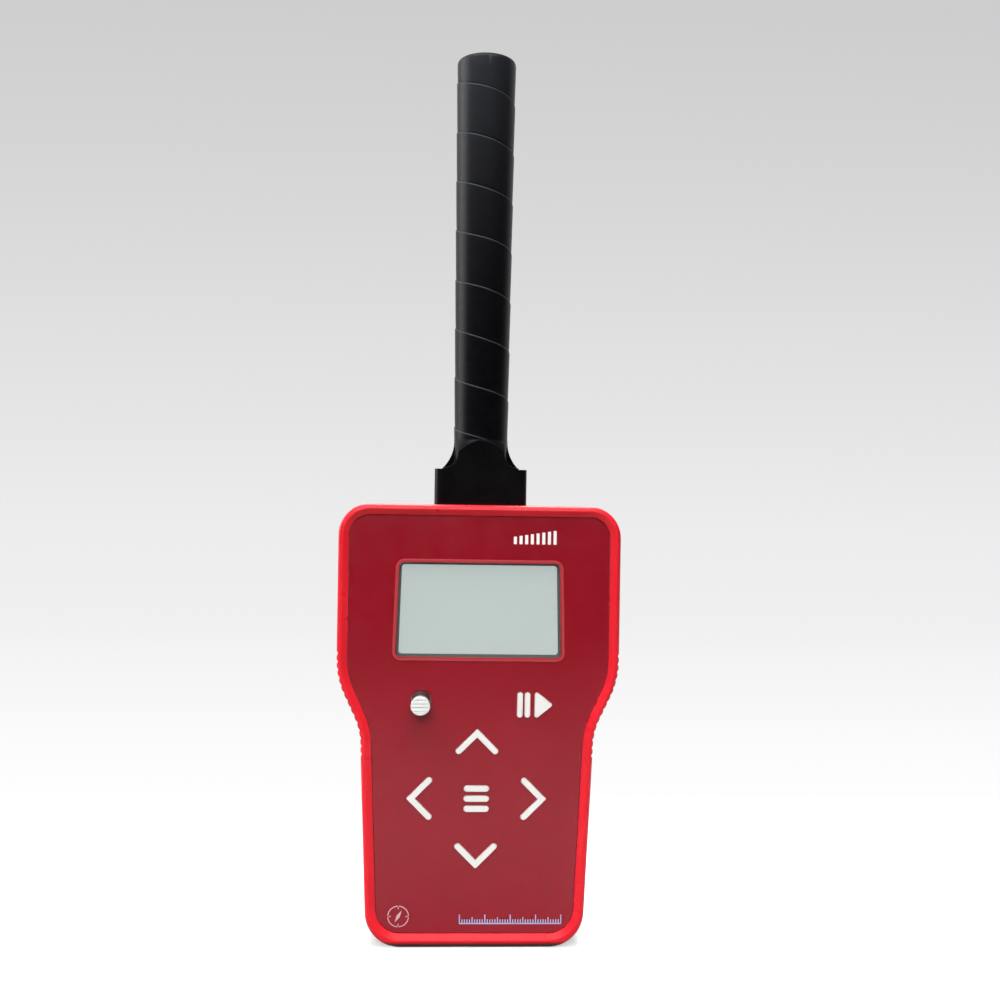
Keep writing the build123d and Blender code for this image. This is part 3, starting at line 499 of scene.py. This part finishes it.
def frame_dark():
    return moulded("frame_dark", tint(26, 25, 27), tint(20, 19, 21), 0.5, grain_size=0.3, grain_depth=0.01,
                   specular_ior_level=0.2)


def backlight_white():
    return moulded("backlight_white", tint(238, 238, 234), tint(230, 230, 225), 0.5)


def board_green():
    """Circuit board: green mask over slightly raised tracks."""
    made = Surface("board_green", tint(24, 92, 52), 0.35, coat_weight=0.3, coat_roughness=0.2)
    tracks = made.math("MAXIMUM", made.wave(110, "Z", 3.0), made.wave(90, "X", 2.0))
    made.colour(made.spread(tracks, 0.0, 1.0, 0.82, 0.9), tint(22, 86, 48), tint(46, 122, 70))
    made.gloss(made.noise(300), 0.28, 0.42)
    made.bump(tracks, 0.2, 0.04)
    return made.material


def chip_black():
    return moulded("chip_black", tint(38, 38, 40), tint(30, 30, 32), 0.55, grain_size=0.2, grain_depth=0.01)


def dome_steel():
    return metal("dome_steel", tint(205, 205, 205), tint(188, 188, 188), 0.3, brush=(1, 1, 8))


def screw_steel():
    return metal("screw_steel", tint(176, 176, 178), tint(150, 150, 153), 0.32, brush=(6, 1, 6))


def insert_brass():
    return metal("insert_brass", tint(218, 178, 98), tint(196, 152, 74), 0.3, brush=(1, 10, 1))


def cell_sleeve():
    """Dry cell: a dark printed sleeve with one plain pale band and bare metal at the ends."""
    low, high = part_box("battery_cells")
    made = Surface("cell_sleeve", tint(52, 53, 58), 0.3, metallic=0.3, coat_weight=0.4, coat_roughness=0.15)
    made.mottle(300, tint(50, 51, 56), tint(60, 61, 66))
    height = made.along("Z")
    band = made.math("LESS_THAN", height, low.z + 0.3 * (high.z - low.z))
    made.colour(band, None, tint(196, 160, 96))
    for edge, compare in ((low.z + 1.6 * MM, "LESS_THAN"), (high.z - 1.6 * MM, "GREATER_THAN")):
        made.colour(made.math(compare, height, edge), None, tint(205, 205, 205))
    made.gloss(made.noise(500, 3.0, (1, 1, 0.1)), 0.24, 0.36)
    made.bump(made.noise(900, 3.0, (1, 1, 0.1)), 0.15, 0.02)
    return made.material


def neck_black():
    # The light colour on its lower edges is a painted highlight.
    return moulded("neck_black", tint(20, 20, 22), tint(13, 13, 15), 0.3, grain_size=0.35, grain_depth=0.02,
                   wear_and_highlight=tint(110, 112, 118), edge=0.5, highlight_below=neck_highlight_top, specular_ior_level=0.1)


def gasket_black():
    return moulded("gasket_black", tint(30, 30, 31), tint(24, 24, 25), 0.7)


def tape_black():
    """Vinyl tape: satin black, with painted light that makes it paler towards the tip, a painted highlight on
    the lap edge and painted shade in the crease above it.
    """
    made = Surface("tape_black", tint(6, 6, 9), 0.36, specular_ior_level=0.13)
    mottle = made.spread(made.noise(120, 3.0, (1, 1, 2.5)), 0.0, 1.0, 0.3, 0.7)
    made.colour(mottle, tint(5, 5, 8), tint(8, 8, 12))
    # Painted light: the tape grows paler towards the tip
    rise = made.spread(made.along("Z"), 0.0, 1.0, tape_base * MM, tape_top * MM)
    made.colour(made.math("POWER", rise, 2.2), None, tint(50, 51, 56))
    # Painted highlight on the lap edge and painted shade in the crease above it
    lap = made.attribute("lap")
    made.colour(made.spread(lap, 0.0, 1.0, 0.1, 1.0), None, tint(72, 74, 80))
    made.colour(made.spread(lap, 0.7, 0.0, -1.0, -0.1), None, tint(8, 8, 10))
    made.gloss(made.noise(200, 3.0, (1, 1, 3)), 0.32, 0.4)
    made.bump(made.noise(700, 4.0, (0.6, 0.6, 2.0)), 0.08, 0.05)
    made.bump(made.noise(3500), 0.15, 0.02)
    return made.material


def tube_black():
    return moulded("tube_black", tint(26, 26, 29), tint(21, 21, 24), 0.5)


def coil_copper():
    """Enamelled winding: fine turns across the coil."""
    made = Surface("coil_copper", tint(196, 112, 62), 0.3, metallic=1.0, coat_weight=0.5, coat_roughness=0.2)
    made.mottle(500, tint(190, 106, 58), tint(206, 124, 72))
    made.gloss(made.noise(700), 0.24, 0.36)
    made.bump(made.wave(900, "Z"), 0.6, 0.08)
    return made.material


def core_grey():
    return metal("core_grey", tint(122, 122, 124), tint(106, 106, 108), 0.4, brush=(8, 8, 1))


def foam_grey():
    return moulded("foam_grey", tint(134, 134, 136), tint(112, 112, 114), 0.85, grain_size=0.6,
                   grain_depth=0.12)


def cable_black():
    return moulded("cable_black", tint(30, 30, 31), tint(24, 24, 25), 0.5)


def plug_white():
    return moulded("plug_white", tint(232, 231, 224), tint(222, 221, 213), 0.45)


def ink(name, colour):
    """Screen-printed ink: nearly flat, a little thin in places."""
    made = Surface(name, colour, 0.5)
    thin = tuple(0.9 * share for share in colour[:3]) + (1.0,)
    made.mottle(1400, colour, thin, 0.4, 0.75)
    made.gloss(made.noise(900), 0.44, 0.56)
    made.bump(made.noise(2600), 0.15, 0.01)
    return made.material


finishes = {
    maker.__name__: maker()
    for maker in (
        soft_red, panel_film, shell_red, key_white, mat_grey, button_metal, clear_lens, display_grey,
        frame_dark, backlight_white, board_green, chip_black, dome_steel, screw_steel, insert_brass,
        cell_sleeve, neck_black, gasket_black, tape_black, tube_black, coil_copper, core_grey, foam_grey,
        cable_black, plug_white,
    )
}
for row in frame["record"]["subparts"]:
    slots = frame["nodes"][row["node"]].data.materials
    slots.clear()
    slots.append(finishes[row["material_slot"]])


def add_piece(name, mesh, material, body):
    """A new piece in a material, which rides on a body."""
    mesh.materials.append(material)
    piece = bpy.data.objects.new(name, mesh)
    bpy.context.scene.collection.objects.link(piece)
    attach(piece, body)
    return piece


def skin(model, first, second):
    """Faces between two rings of points."""
    for index in range(len(first)):
        after = (index + 1) % len(first)
        model.faces.new((first[index], second[index], second[after], first[after]))


def finished(model, name, angle=None):
    """Mesh of a model with its faces turned outwards, smooth up to an angle where one is given."""
    bmesh.ops.recalc_face_normals(model, faces=model.faces)
    mesh = bpy.data.meshes.new(name)
    model.to_mesh(mesh)
    model.free()
    if angle:
        mesh.shade_smooth()
        mesh.set_sharp_from_angle(angle=math.radians(angle))
    return mesh


def tape_radius(height):
    """Mean radius of the tape at a height."""
    share = (height - tape_base) / (tape_top - tape_base)
    return tape_base_radius + share * (tape_top_radius - tape_base_radius)


def rounded_limit(height):
    """Largest radius that the round edge at the tip allows at a height."""
    start = tape_top - tape_top_round
    if height <= start:
        return math.inf
    rise = min(height - start, tape_top_round)
    return tape_radius(start) - tape_top_round + math.sqrt(tape_top_round ** 2 - rise ** 2)


def flat_tape():
    """The tape's turns before they are rolled up: angle, offset from the mean radius, and height."""
    outline = tape_outside + tape_inside
    turns = math.ceil((tape_top - tape_base) / tape_pitch)
    left_seam = tape_top - tape_seam_drop
    model = bmesh.new()
    lap = model.verts.layers.float.new("lap")
    rings = []
    for step in range((turns + 2 * tape_spare_turns) * tape_steps + 1):
        turn = -tape_spare_turns + step / tape_steps
        angle = -2 * math.pi * turn
        waver = tape_waver * sum(share * math.sin(rate * angle + phase) for share, rate, phase in tape_waves)
        edge = left_seam - turns * tape_pitch + (turn - 0.5) * tape_pitch + waver
        ring = []
        for drop, offset, shade in outline:
            vertex = model.verts.new((angle, offset, edge - drop))
            vertex[lap] = shade
            ring.append(vertex)
        rings.append(ring)
    for lower, upper in zip(rings, rings[1:]):
        skin(model, lower, upper)
    model.faces.new(rings[0])
    model.faces.new(list(reversed(rings[-1])))
    return model


def cut_at(model, height, clear_above=False, clear_below=False):
    """Cut the flat tape at a height, and fill what a cleared side leaves open."""
    everything = list(model.verts) + list(model.edges) + list(model.faces)
    result = bmesh.ops.bisect_plane(
        model, geom=everything, plane_co=(0, 0, height), plane_no=(0, 0, 1), dist=1e-5,
        clear_outer=clear_above, clear_inner=clear_below,
    )
    if clear_above or clear_below:
        open_edges = [part for part in result["geom_cut"] if isinstance(part, bmesh.types.BMEdge)]
        bmesh.ops.holes_fill(model, edges=open_edges, sides=0)


def roll_up(model):
    """Roll the flat tape round the probe: plain at its foot, and inside the round edge at the tip."""
    for vertex in model.verts:
        angle, offset, height = vertex.co
        fade = min(1.0, (height - tape_base) / tape_fade)
        radius = tape_radius(height) + offset * fade
        limit = rounded_limit(height) - (tape_thickness if offset < tape_sunk_offset else 0.0)
        radius = min(radius, limit)
        vertex.co = Vector((radius * math.cos(angle), radius * math.sin(angle), height)) * MM


def wound_tape():
    """One tape wound down the tube, left-handed; each turn laps over the lower edge of the turn above it."""
    model = flat_tape()
    for share in tape_round_cuts:
        cut_at(model, tape_top - share * tape_top_round)
    cut_at(model, tape_top, clear_above=True)
    cut_at(model, tape_base, clear_below=True)
    roll_up(model)
    return finished(model, "probe_tape", 40)


tape = add_piece("probe_tape", wound_tape(), finishes["tape_black"], "case")
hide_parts("probe_wrap")


def extruded(outlines, back, front):
    """Plate of flat outlines of x and z, in millimetres, between two depths from the parting plane."""
    model = bmesh.new()
    for outline in outlines:
        near = [model.verts.new((x * MM, -front * MM, z * MM)) for x, z in outline]
        far = [model.verts.new((x * MM, -back * MM, z * MM)) for x, z in outline]
        model.faces.new(near)
        model.faces.new(list(reversed(far)))
        skin(model, near, far)
    return finished(model, "plate")


def bar(x, z, width, height, rounding=0.18, steps=4):
    """Outline of an upright bar with round corners, from its centre."""
    corners = []
    for quarter, (across, up) in enumerate(((1, 1), (-1, 1), (-1, -1), (1, -1))):
        for step in range(steps + 1):
            turn = (quarter + step / steps) * math.pi / 2
            corners.append((
                x + across * (width / 2 - rounding) + rounding * math.cos(turn),
                z + up * (height / 2 - rounding) + rounding * math.sin(turn),
            ))
    return corners


def arc_band(x, z, radius, width, start, end, steps=48):
    """Outline of a curved stroke about a centre, its angles in degrees."""
    angles = [math.radians(start + (end - start) * step / steps) for step in range(steps + 1)]
    outer = [(x + (radius + width / 2) * math.cos(a), z + (radius + width / 2) * math.sin(a)) for a in angles]
    inner = [(x + (radius - width / 2) * math.cos(a), z + (radius - width / 2) * math.sin(a)) for a in angles]
    return outer + inner[::-1]


def printed(name, outlines, colour):
    """Print on the panel's film, in an ink of its own."""
    mesh = extruded(outlines, film_front - ink_thickness, film_front + ink_thickness)
    return add_piece(name, mesh, ink(name + "_ink", colour), "case")


def level_bars():
    """A row of bars on one base line, each taller than the one before."""
    bars = []
    for step in range(level_count):
        x = level_left + level_pitch * step
        growth = level_growth * step
        bars.append(bar(x, level_middle + growth / 2, level_width, level_least + growth))
    return bars


printed("print_level_bars", level_bars(), tint(248, 246, 242))


def window_outline(grow, steps=8):
    """Outline round the display's opening, moved outwards."""
    half = window_height / 2 + grow
    corner = window_corner + grow
    corners = (
        (window_top_width / 2 + grow, half), (-window_top_width / 2 - grow, half),
        (-window_base_width / 2 - grow, -half), (window_base_width / 2 + grow, -half),
    )
    outline = []
    for quarter, (x, z) in enumerate(corners):
        across = math.copysign(corner, x)
        up = math.copysign(corner, z)
        for step in range(steps + 1):
            turn = (quarter + step / steps) * math.pi / 2
            outline.append((
                x - across + corner * math.cos(turn),
                window_centre + z - up + corner * math.sin(turn),
            ))
    return outline


def ring_mesh(name, rows):
    """Closed ring through outlines of x and z, each at its own depth, in millimetres."""
    model = bmesh.new()
    rings = [[model.verts.new((x * MM, -depth * MM, z * MM)) for x, z in row] for row, depth in rows]
    for inner, outer in zip(rings, rings[1:] + rings[:1]):
        skin(model, inner, outer)
    return finished(model, name, 50)


# A painted highlight line on the edge of the pressed frame, and from it down to the display a bevel redder
# than the panel
ridge = film_front + frame_height
window_highlight_line = ring_mesh("window_highlight_line", [
    (window_outline(frame_width - line_width / 2), ridge - line_sink),
    (window_outline(frame_width - line_width / 4), ridge + line_height),
    (window_outline(frame_width + line_width / 4), ridge + line_height),
    (window_outline(frame_width + line_width / 2), film_front - line_foot_sink),
])
# The line's paler ink is a painted highlight
add_piece("window_highlight_line", window_highlight_line, ink("window_highlight_line_ink", tint(178, 48, 56)), "case")
window_band = ring_mesh("window_band", [
    (window_outline(-band_inset), ridge - band_drop),
    (window_outline(band_edge), ridge + band_inner_rise),
    (window_outline(frame_width - line_width / 3), ridge + band_outer_rise),
    (window_outline(frame_width - line_width / 3), ridge - band_drop),
])
add_piece("window_band", window_band, ink("window_band_ink", tint(166, 18, 26)), "case")


def tick_scale():
    """A plain ruled scale: long, middle and short ticks on a base line."""
    ticks = [bar(tick_line_middle, tick_base, tick_line_length, tick_line_width)]
    for step in range(tick_count):
        x = tick_left + tick_pitch * step
        height = tick_long if step % 10 == 0 else tick_middle if step % 5 == 0 else tick_short
        ticks.append(bar(x, tick_base + height / 2, tick_width, height, tick_round))
    return ticks


printed("print_tick_scale", tick_scale(), tint(166, 190, 232))


def needle_dial():
    """A plain compass sign: a ring, four marks and a needle."""
    shapes = []
    quarters = (0, 90, 180, 270)
    for turn in quarters:
        start = turn + dial_gap
        end = turn + 90 - dial_gap
        shapes.append(arc_band(dial_x, dial_z, dial_radius, dial_stroke, start, end))
    for turn in quarters:
        across = math.cos(math.radians(turn))
        up = math.sin(math.radians(turn))
        shapes.append(bar(
            dial_x + mark_radius * across, dial_z + mark_radius * up,
            mark_width + mark_extra * abs(across), mark_width + mark_extra * abs(up), mark_round,
        ))
    lean = math.radians(needle_lean)
    tip = Vector((math.cos(lean), math.sin(lean))) * needle_reach
    side = Vector((-math.sin(lean), math.cos(lean))) * needle_half_width
    centre = Vector((dial_x, dial_z))
    shapes.append([tuple(centre + tip), tuple(centre + side), tuple(centre - tip), tuple(centre - side)])
    return shapes


printed("print_needle_dial", needle_dial(), tint(214, 170, 176))


def screw_profile(crown):
    """Radius and depth along the screw's turned outline, from its tip to its crown."""
    profile = [(0.0, screw_seat - screw_length)]
    for step in reversed(range(thread_steps)):
        depth = thread_depth if step % 2 else 0.0
        profile.append((screw_radius - depth, screw_seat - thread_step * step))
    profile.append((screw_head_radius, screw_seat))
    profile += [(screw_head_radius * share, crown - drop) for share, drop in screw_crown]
    return profile


def cross_outline():
    """Outline of the cross recess."""
    arm = recess_arm
    half = recess_half_width
    return [
        (arm, half), (half, half), (half, arm), (-half, arm), (-half, half), (-arm, half),
        (-arm, -half), (-half, -half), (-half, -arm), (half, -arm), (half, -half), (arm, -half),
    ]


def cross_screw(x, z):
    """Pan-head screw seen from behind: turned profile, with a cross recess in its head."""
    model = bmesh.new()

    def ring(outline, depth):
        return [model.verts.new(((x + a) * MM, depth * MM, (z + b) * MM)) for a, b in outline]

    def rim_edges(points):
        return [model.edges.get(pair) for pair in zip(points, points[1:] + points[:1])]

    crown = screw_seat + screw_head_height
    turns = [2 * math.pi * step / screw_facets for step in range(screw_facets)]
    rings = []
    for radius, depth in screw_profile(crown):
        rings.append(ring([(radius * math.cos(turn), radius * math.sin(turn)) for turn in turns], depth))
    for lower, upper in zip(rings, rings[1:]):
        skin(model, lower, upper)
    cross = cross_outline()
    rim = ring(cross, crown - recess_drop)
    sunk = ring([(recess_taper * a, recess_taper * b) for a, b in cross], crown - recess_depth)
    skin(model, rim, sunk)
    model.faces.new(sunk)
    bmesh.ops.triangle_fill(model, edges=rim_edges(rings[-1]) + rim_edges(rim), use_beauty=True)
    bmesh.ops.remove_doubles(model, verts=model.verts, dist=1e-7)
    return finished(model, "cross_screw", 30)


for number, (x, z) in enumerate(screw_places, 1):
    mesh = cross_screw(x, z)
    screw = add_piece(f"case_screw_{number}", mesh, finishes["screw_steel"], "case")
    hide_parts("case_screws")


def sweep_mesh():
    """Floor that bends up into a backdrop, with the length along it kept on its points."""
    profile = [(y, 0.0) for y in (sweep_front, *sweep_rows)]
    for step in range(sweep_bend_steps + 1):
        turn = math.pi / 2 * step / sweep_bend_steps
        profile.append((sweep_bend + sweep_radius * math.sin(turn), sweep_radius * (1 - math.cos(turn))))
    profile.append((sweep_bend + sweep_radius, sweep_height))
    mesh = bpy.data.meshes.new("sweep")
    points = [(x, y, z - sweep_drop) for y, z in profile for x in (-sweep_half_width, sweep_half_width)]
    faces = [(2 * row, 2 * row + 1, 2 * row + 3, 2 * row + 2) for row in range(len(profile) - 1)]
    mesh.from_pydata(points, [], faces)
    run = mesh.attributes.new("run", "FLOAT", "POINT")
    length = sweep_front
    for row, (y, z) in enumerate(profile):
        if row:
            length += math.dist(profile[row - 1], (y, z))
        run.data[2 * row].value = length
        run.data[2 * row + 1].value = length
    mesh.shade_smooth()
    return mesh


def sweep_floor(made):
    """White floor, which keeps the shadow and glows a little."""
    glow = made.node("Emission")
    glow.inputs["Strength"].default_value = floor_glow
    floor = made.node("AddShader")
    made.link(made.matt(floor_share), floor.inputs[0])
    made.link(glow.outputs["Emission"], floor.inputs[1])
    return floor.outputs["Shader"]


def sweep_backdrop(made, run):
    """Backdrop of even light, greyer towards its top."""
    ramp = made.node("ValToRGB")
    made.link(made.spread(run, 0.0, 1.0, 0.0, sweep_span), ramp.inputs["Fac"])
    elements = ramp.color_ramp.elements
    while len(elements) < len(sweep_greys):
        elements.new(1.0)
    for element, (length, grey) in zip(elements, sweep_greys):
        element.position = length / sweep_span
        element.color = tint(grey, grey, grey)
    backdrop = made.node("Emission")
    made.link(ramp.outputs["Color"], backdrop.inputs["Color"])
    return backdrop.outputs["Emission"]


def sweep_seen(made, run):
    """Share of the sweep that a ray sees: the camera all of it, mirrors less towards its front."""
    ray = made.node("LightPath")
    camera_ray = ray.outputs["Is Camera Ray"]
    seen = camera_ray
    for kind in ("Is Glossy Ray", "Is Transmission Ray"):
        seen = made.math("MAXIMUM", seen, ray.outputs[kind])
    fade = made.spread(run, 0.0, 1.0, mirrored_from, mirrored_fully)
    return made.math("MULTIPLY", seen, made.math("MAXIMUM", camera_ray, fade))


def sweep_material():
    """Floor going over into a backdrop; it throws next to no light on the object."""
    material = bpy.data.materials.new("sweep")
    made = Nodes(material)
    made.tree.nodes.remove(made.tree.nodes["Principled BSDF"])
    run = made.attribute("run")
    nearness = made.spread(run, 0.0, 1.0, floor_end, backdrop_start, interpolation_type="SMOOTHSTEP")
    shown = made.mixed(nearness, sweep_floor(made), sweep_backdrop(made, run))
    surface = made.mixed(sweep_seen(made, run), made.matt(bounce_share), shown)
    made.link(surface, made.tree.nodes["Material Output"].inputs["Surface"])
    return material


sweep = bpy.data.objects.new("studio_sweep", sweep_mesh())
sweep.data.materials.append(sweep_material())
bpy.context.scene.collection.objects.link(sweep)


def flag(name, pieces):
    """Collection of the pieces that a lamp is kept off."""
    made = bpy.data.collections.new(name)
    for piece in pieces:
        made.objects.link(piece)
    for member in made.collection_objects:
        member.light_linking.link_state = "EXCLUDE"
    return made


off_the_floor = flag("off_the_floor", [sweep])
probe_pieces = [tape, frame["nodes"]["probe_neck"], frame["nodes"]["probe_cap"]]
off_the_probe = flag("off_the_probe", probe_pieces)


def softbox(name, place, target, width, height, power, flagged=None, spread=180):
    """Rectangular lamp that faces the target; it may be flagged off some pieces or narrowed by a grid."""
    lamp = bpy.data.lights.new(name, "AREA")
    lamp.shape = "RECTANGLE"
    lamp.size = width
    lamp.size_y = height
    lamp.energy = power
    lamp.spread = math.radians(spread)
    holder = bpy.data.objects.new(name, lamp)
    holder.location = place
    holder.rotation_euler = (Vector(target) - Vector(place)).to_track_quat("-Z", "Y").to_euler()
    if flagged:
        holder.light_linking.receiver_collection = flagged
    bpy.context.scene.collection.objects.link(holder)


softbox("key_lamp", place=(-0.15, -0.5, 1.05), target=(0, 0, 0.08), width=1.3, height=0.6, power=13)
softbox("front_lamp", place=(-0.05, -1.05, 0.44), target=(0, -0.2, 0.03), width=0.6, height=0.4, power=0.86,
        flagged=off_the_probe, spread=44)
softbox("left_lamp", place=(-0.85, 0.15, 0.5), target=(0, 0, 0.22), width=0.6, height=0.8, power=6,
        flagged=off_the_floor)
softbox("top_lamp", place=(0, 0.42, 0.95), target=(0, 0, 0.15), width=0.5, height=0.8, power=22,
        flagged=off_the_probe)


def studio_world():
    """Room light, brighter from above and the left and nearly dark from the front; pale where it is seen."""
    world = bpy.data.worlds.new("studio")
    made = Nodes(world)
    facing = made.node("VectorMath", operation="DOT_PRODUCT")
    made.link(made.node("TexCoord").outputs["Generated"], facing.inputs[0])
    facing.inputs[1].default_value = room_light_from
    strength = made.spread(facing.outputs["Value"], room_dark, room_bright, room_dark_side, room_bright_side)
    seen = made.node("Mix")
    made.link(made.node("LightPath").outputs["Is Camera Ray"], seen.inputs["Factor"])
    made.link(strength, seen.inputs["A"])
    seen.inputs["B"].default_value = room_seen
    background = made.tree.nodes["Background"]
    background.inputs["Color"].default_value = (1, 1, 1, 1)
    made.link(seen.outputs["Result"], background.inputs["Strength"])
    return world


bpy.context.scene.world = studio_world()

camera = bpy.data.objects.new("camera", bpy.data.cameras.new("camera"))
camera.data.sensor_width = sensor_width
camera.data.lens = sensor_width * focal_pixels / frame_pixels
camera.matrix_world = (
    Matrix.Translation(eye)
    @ Matrix.Rotation(math.radians(-camera_yaw), 4, "Z")
    @ Matrix.Rotation(math.radians(90 + camera_pitch), 4, "X")
    @ Matrix.Rotation(math.radians(camera_roll), 4, "Z")
)
bpy.context.scene.collection.objects.link(camera)
bpy.context.scene.camera = camera
bpy.context.scene.view_settings.view_transform = "Standard"
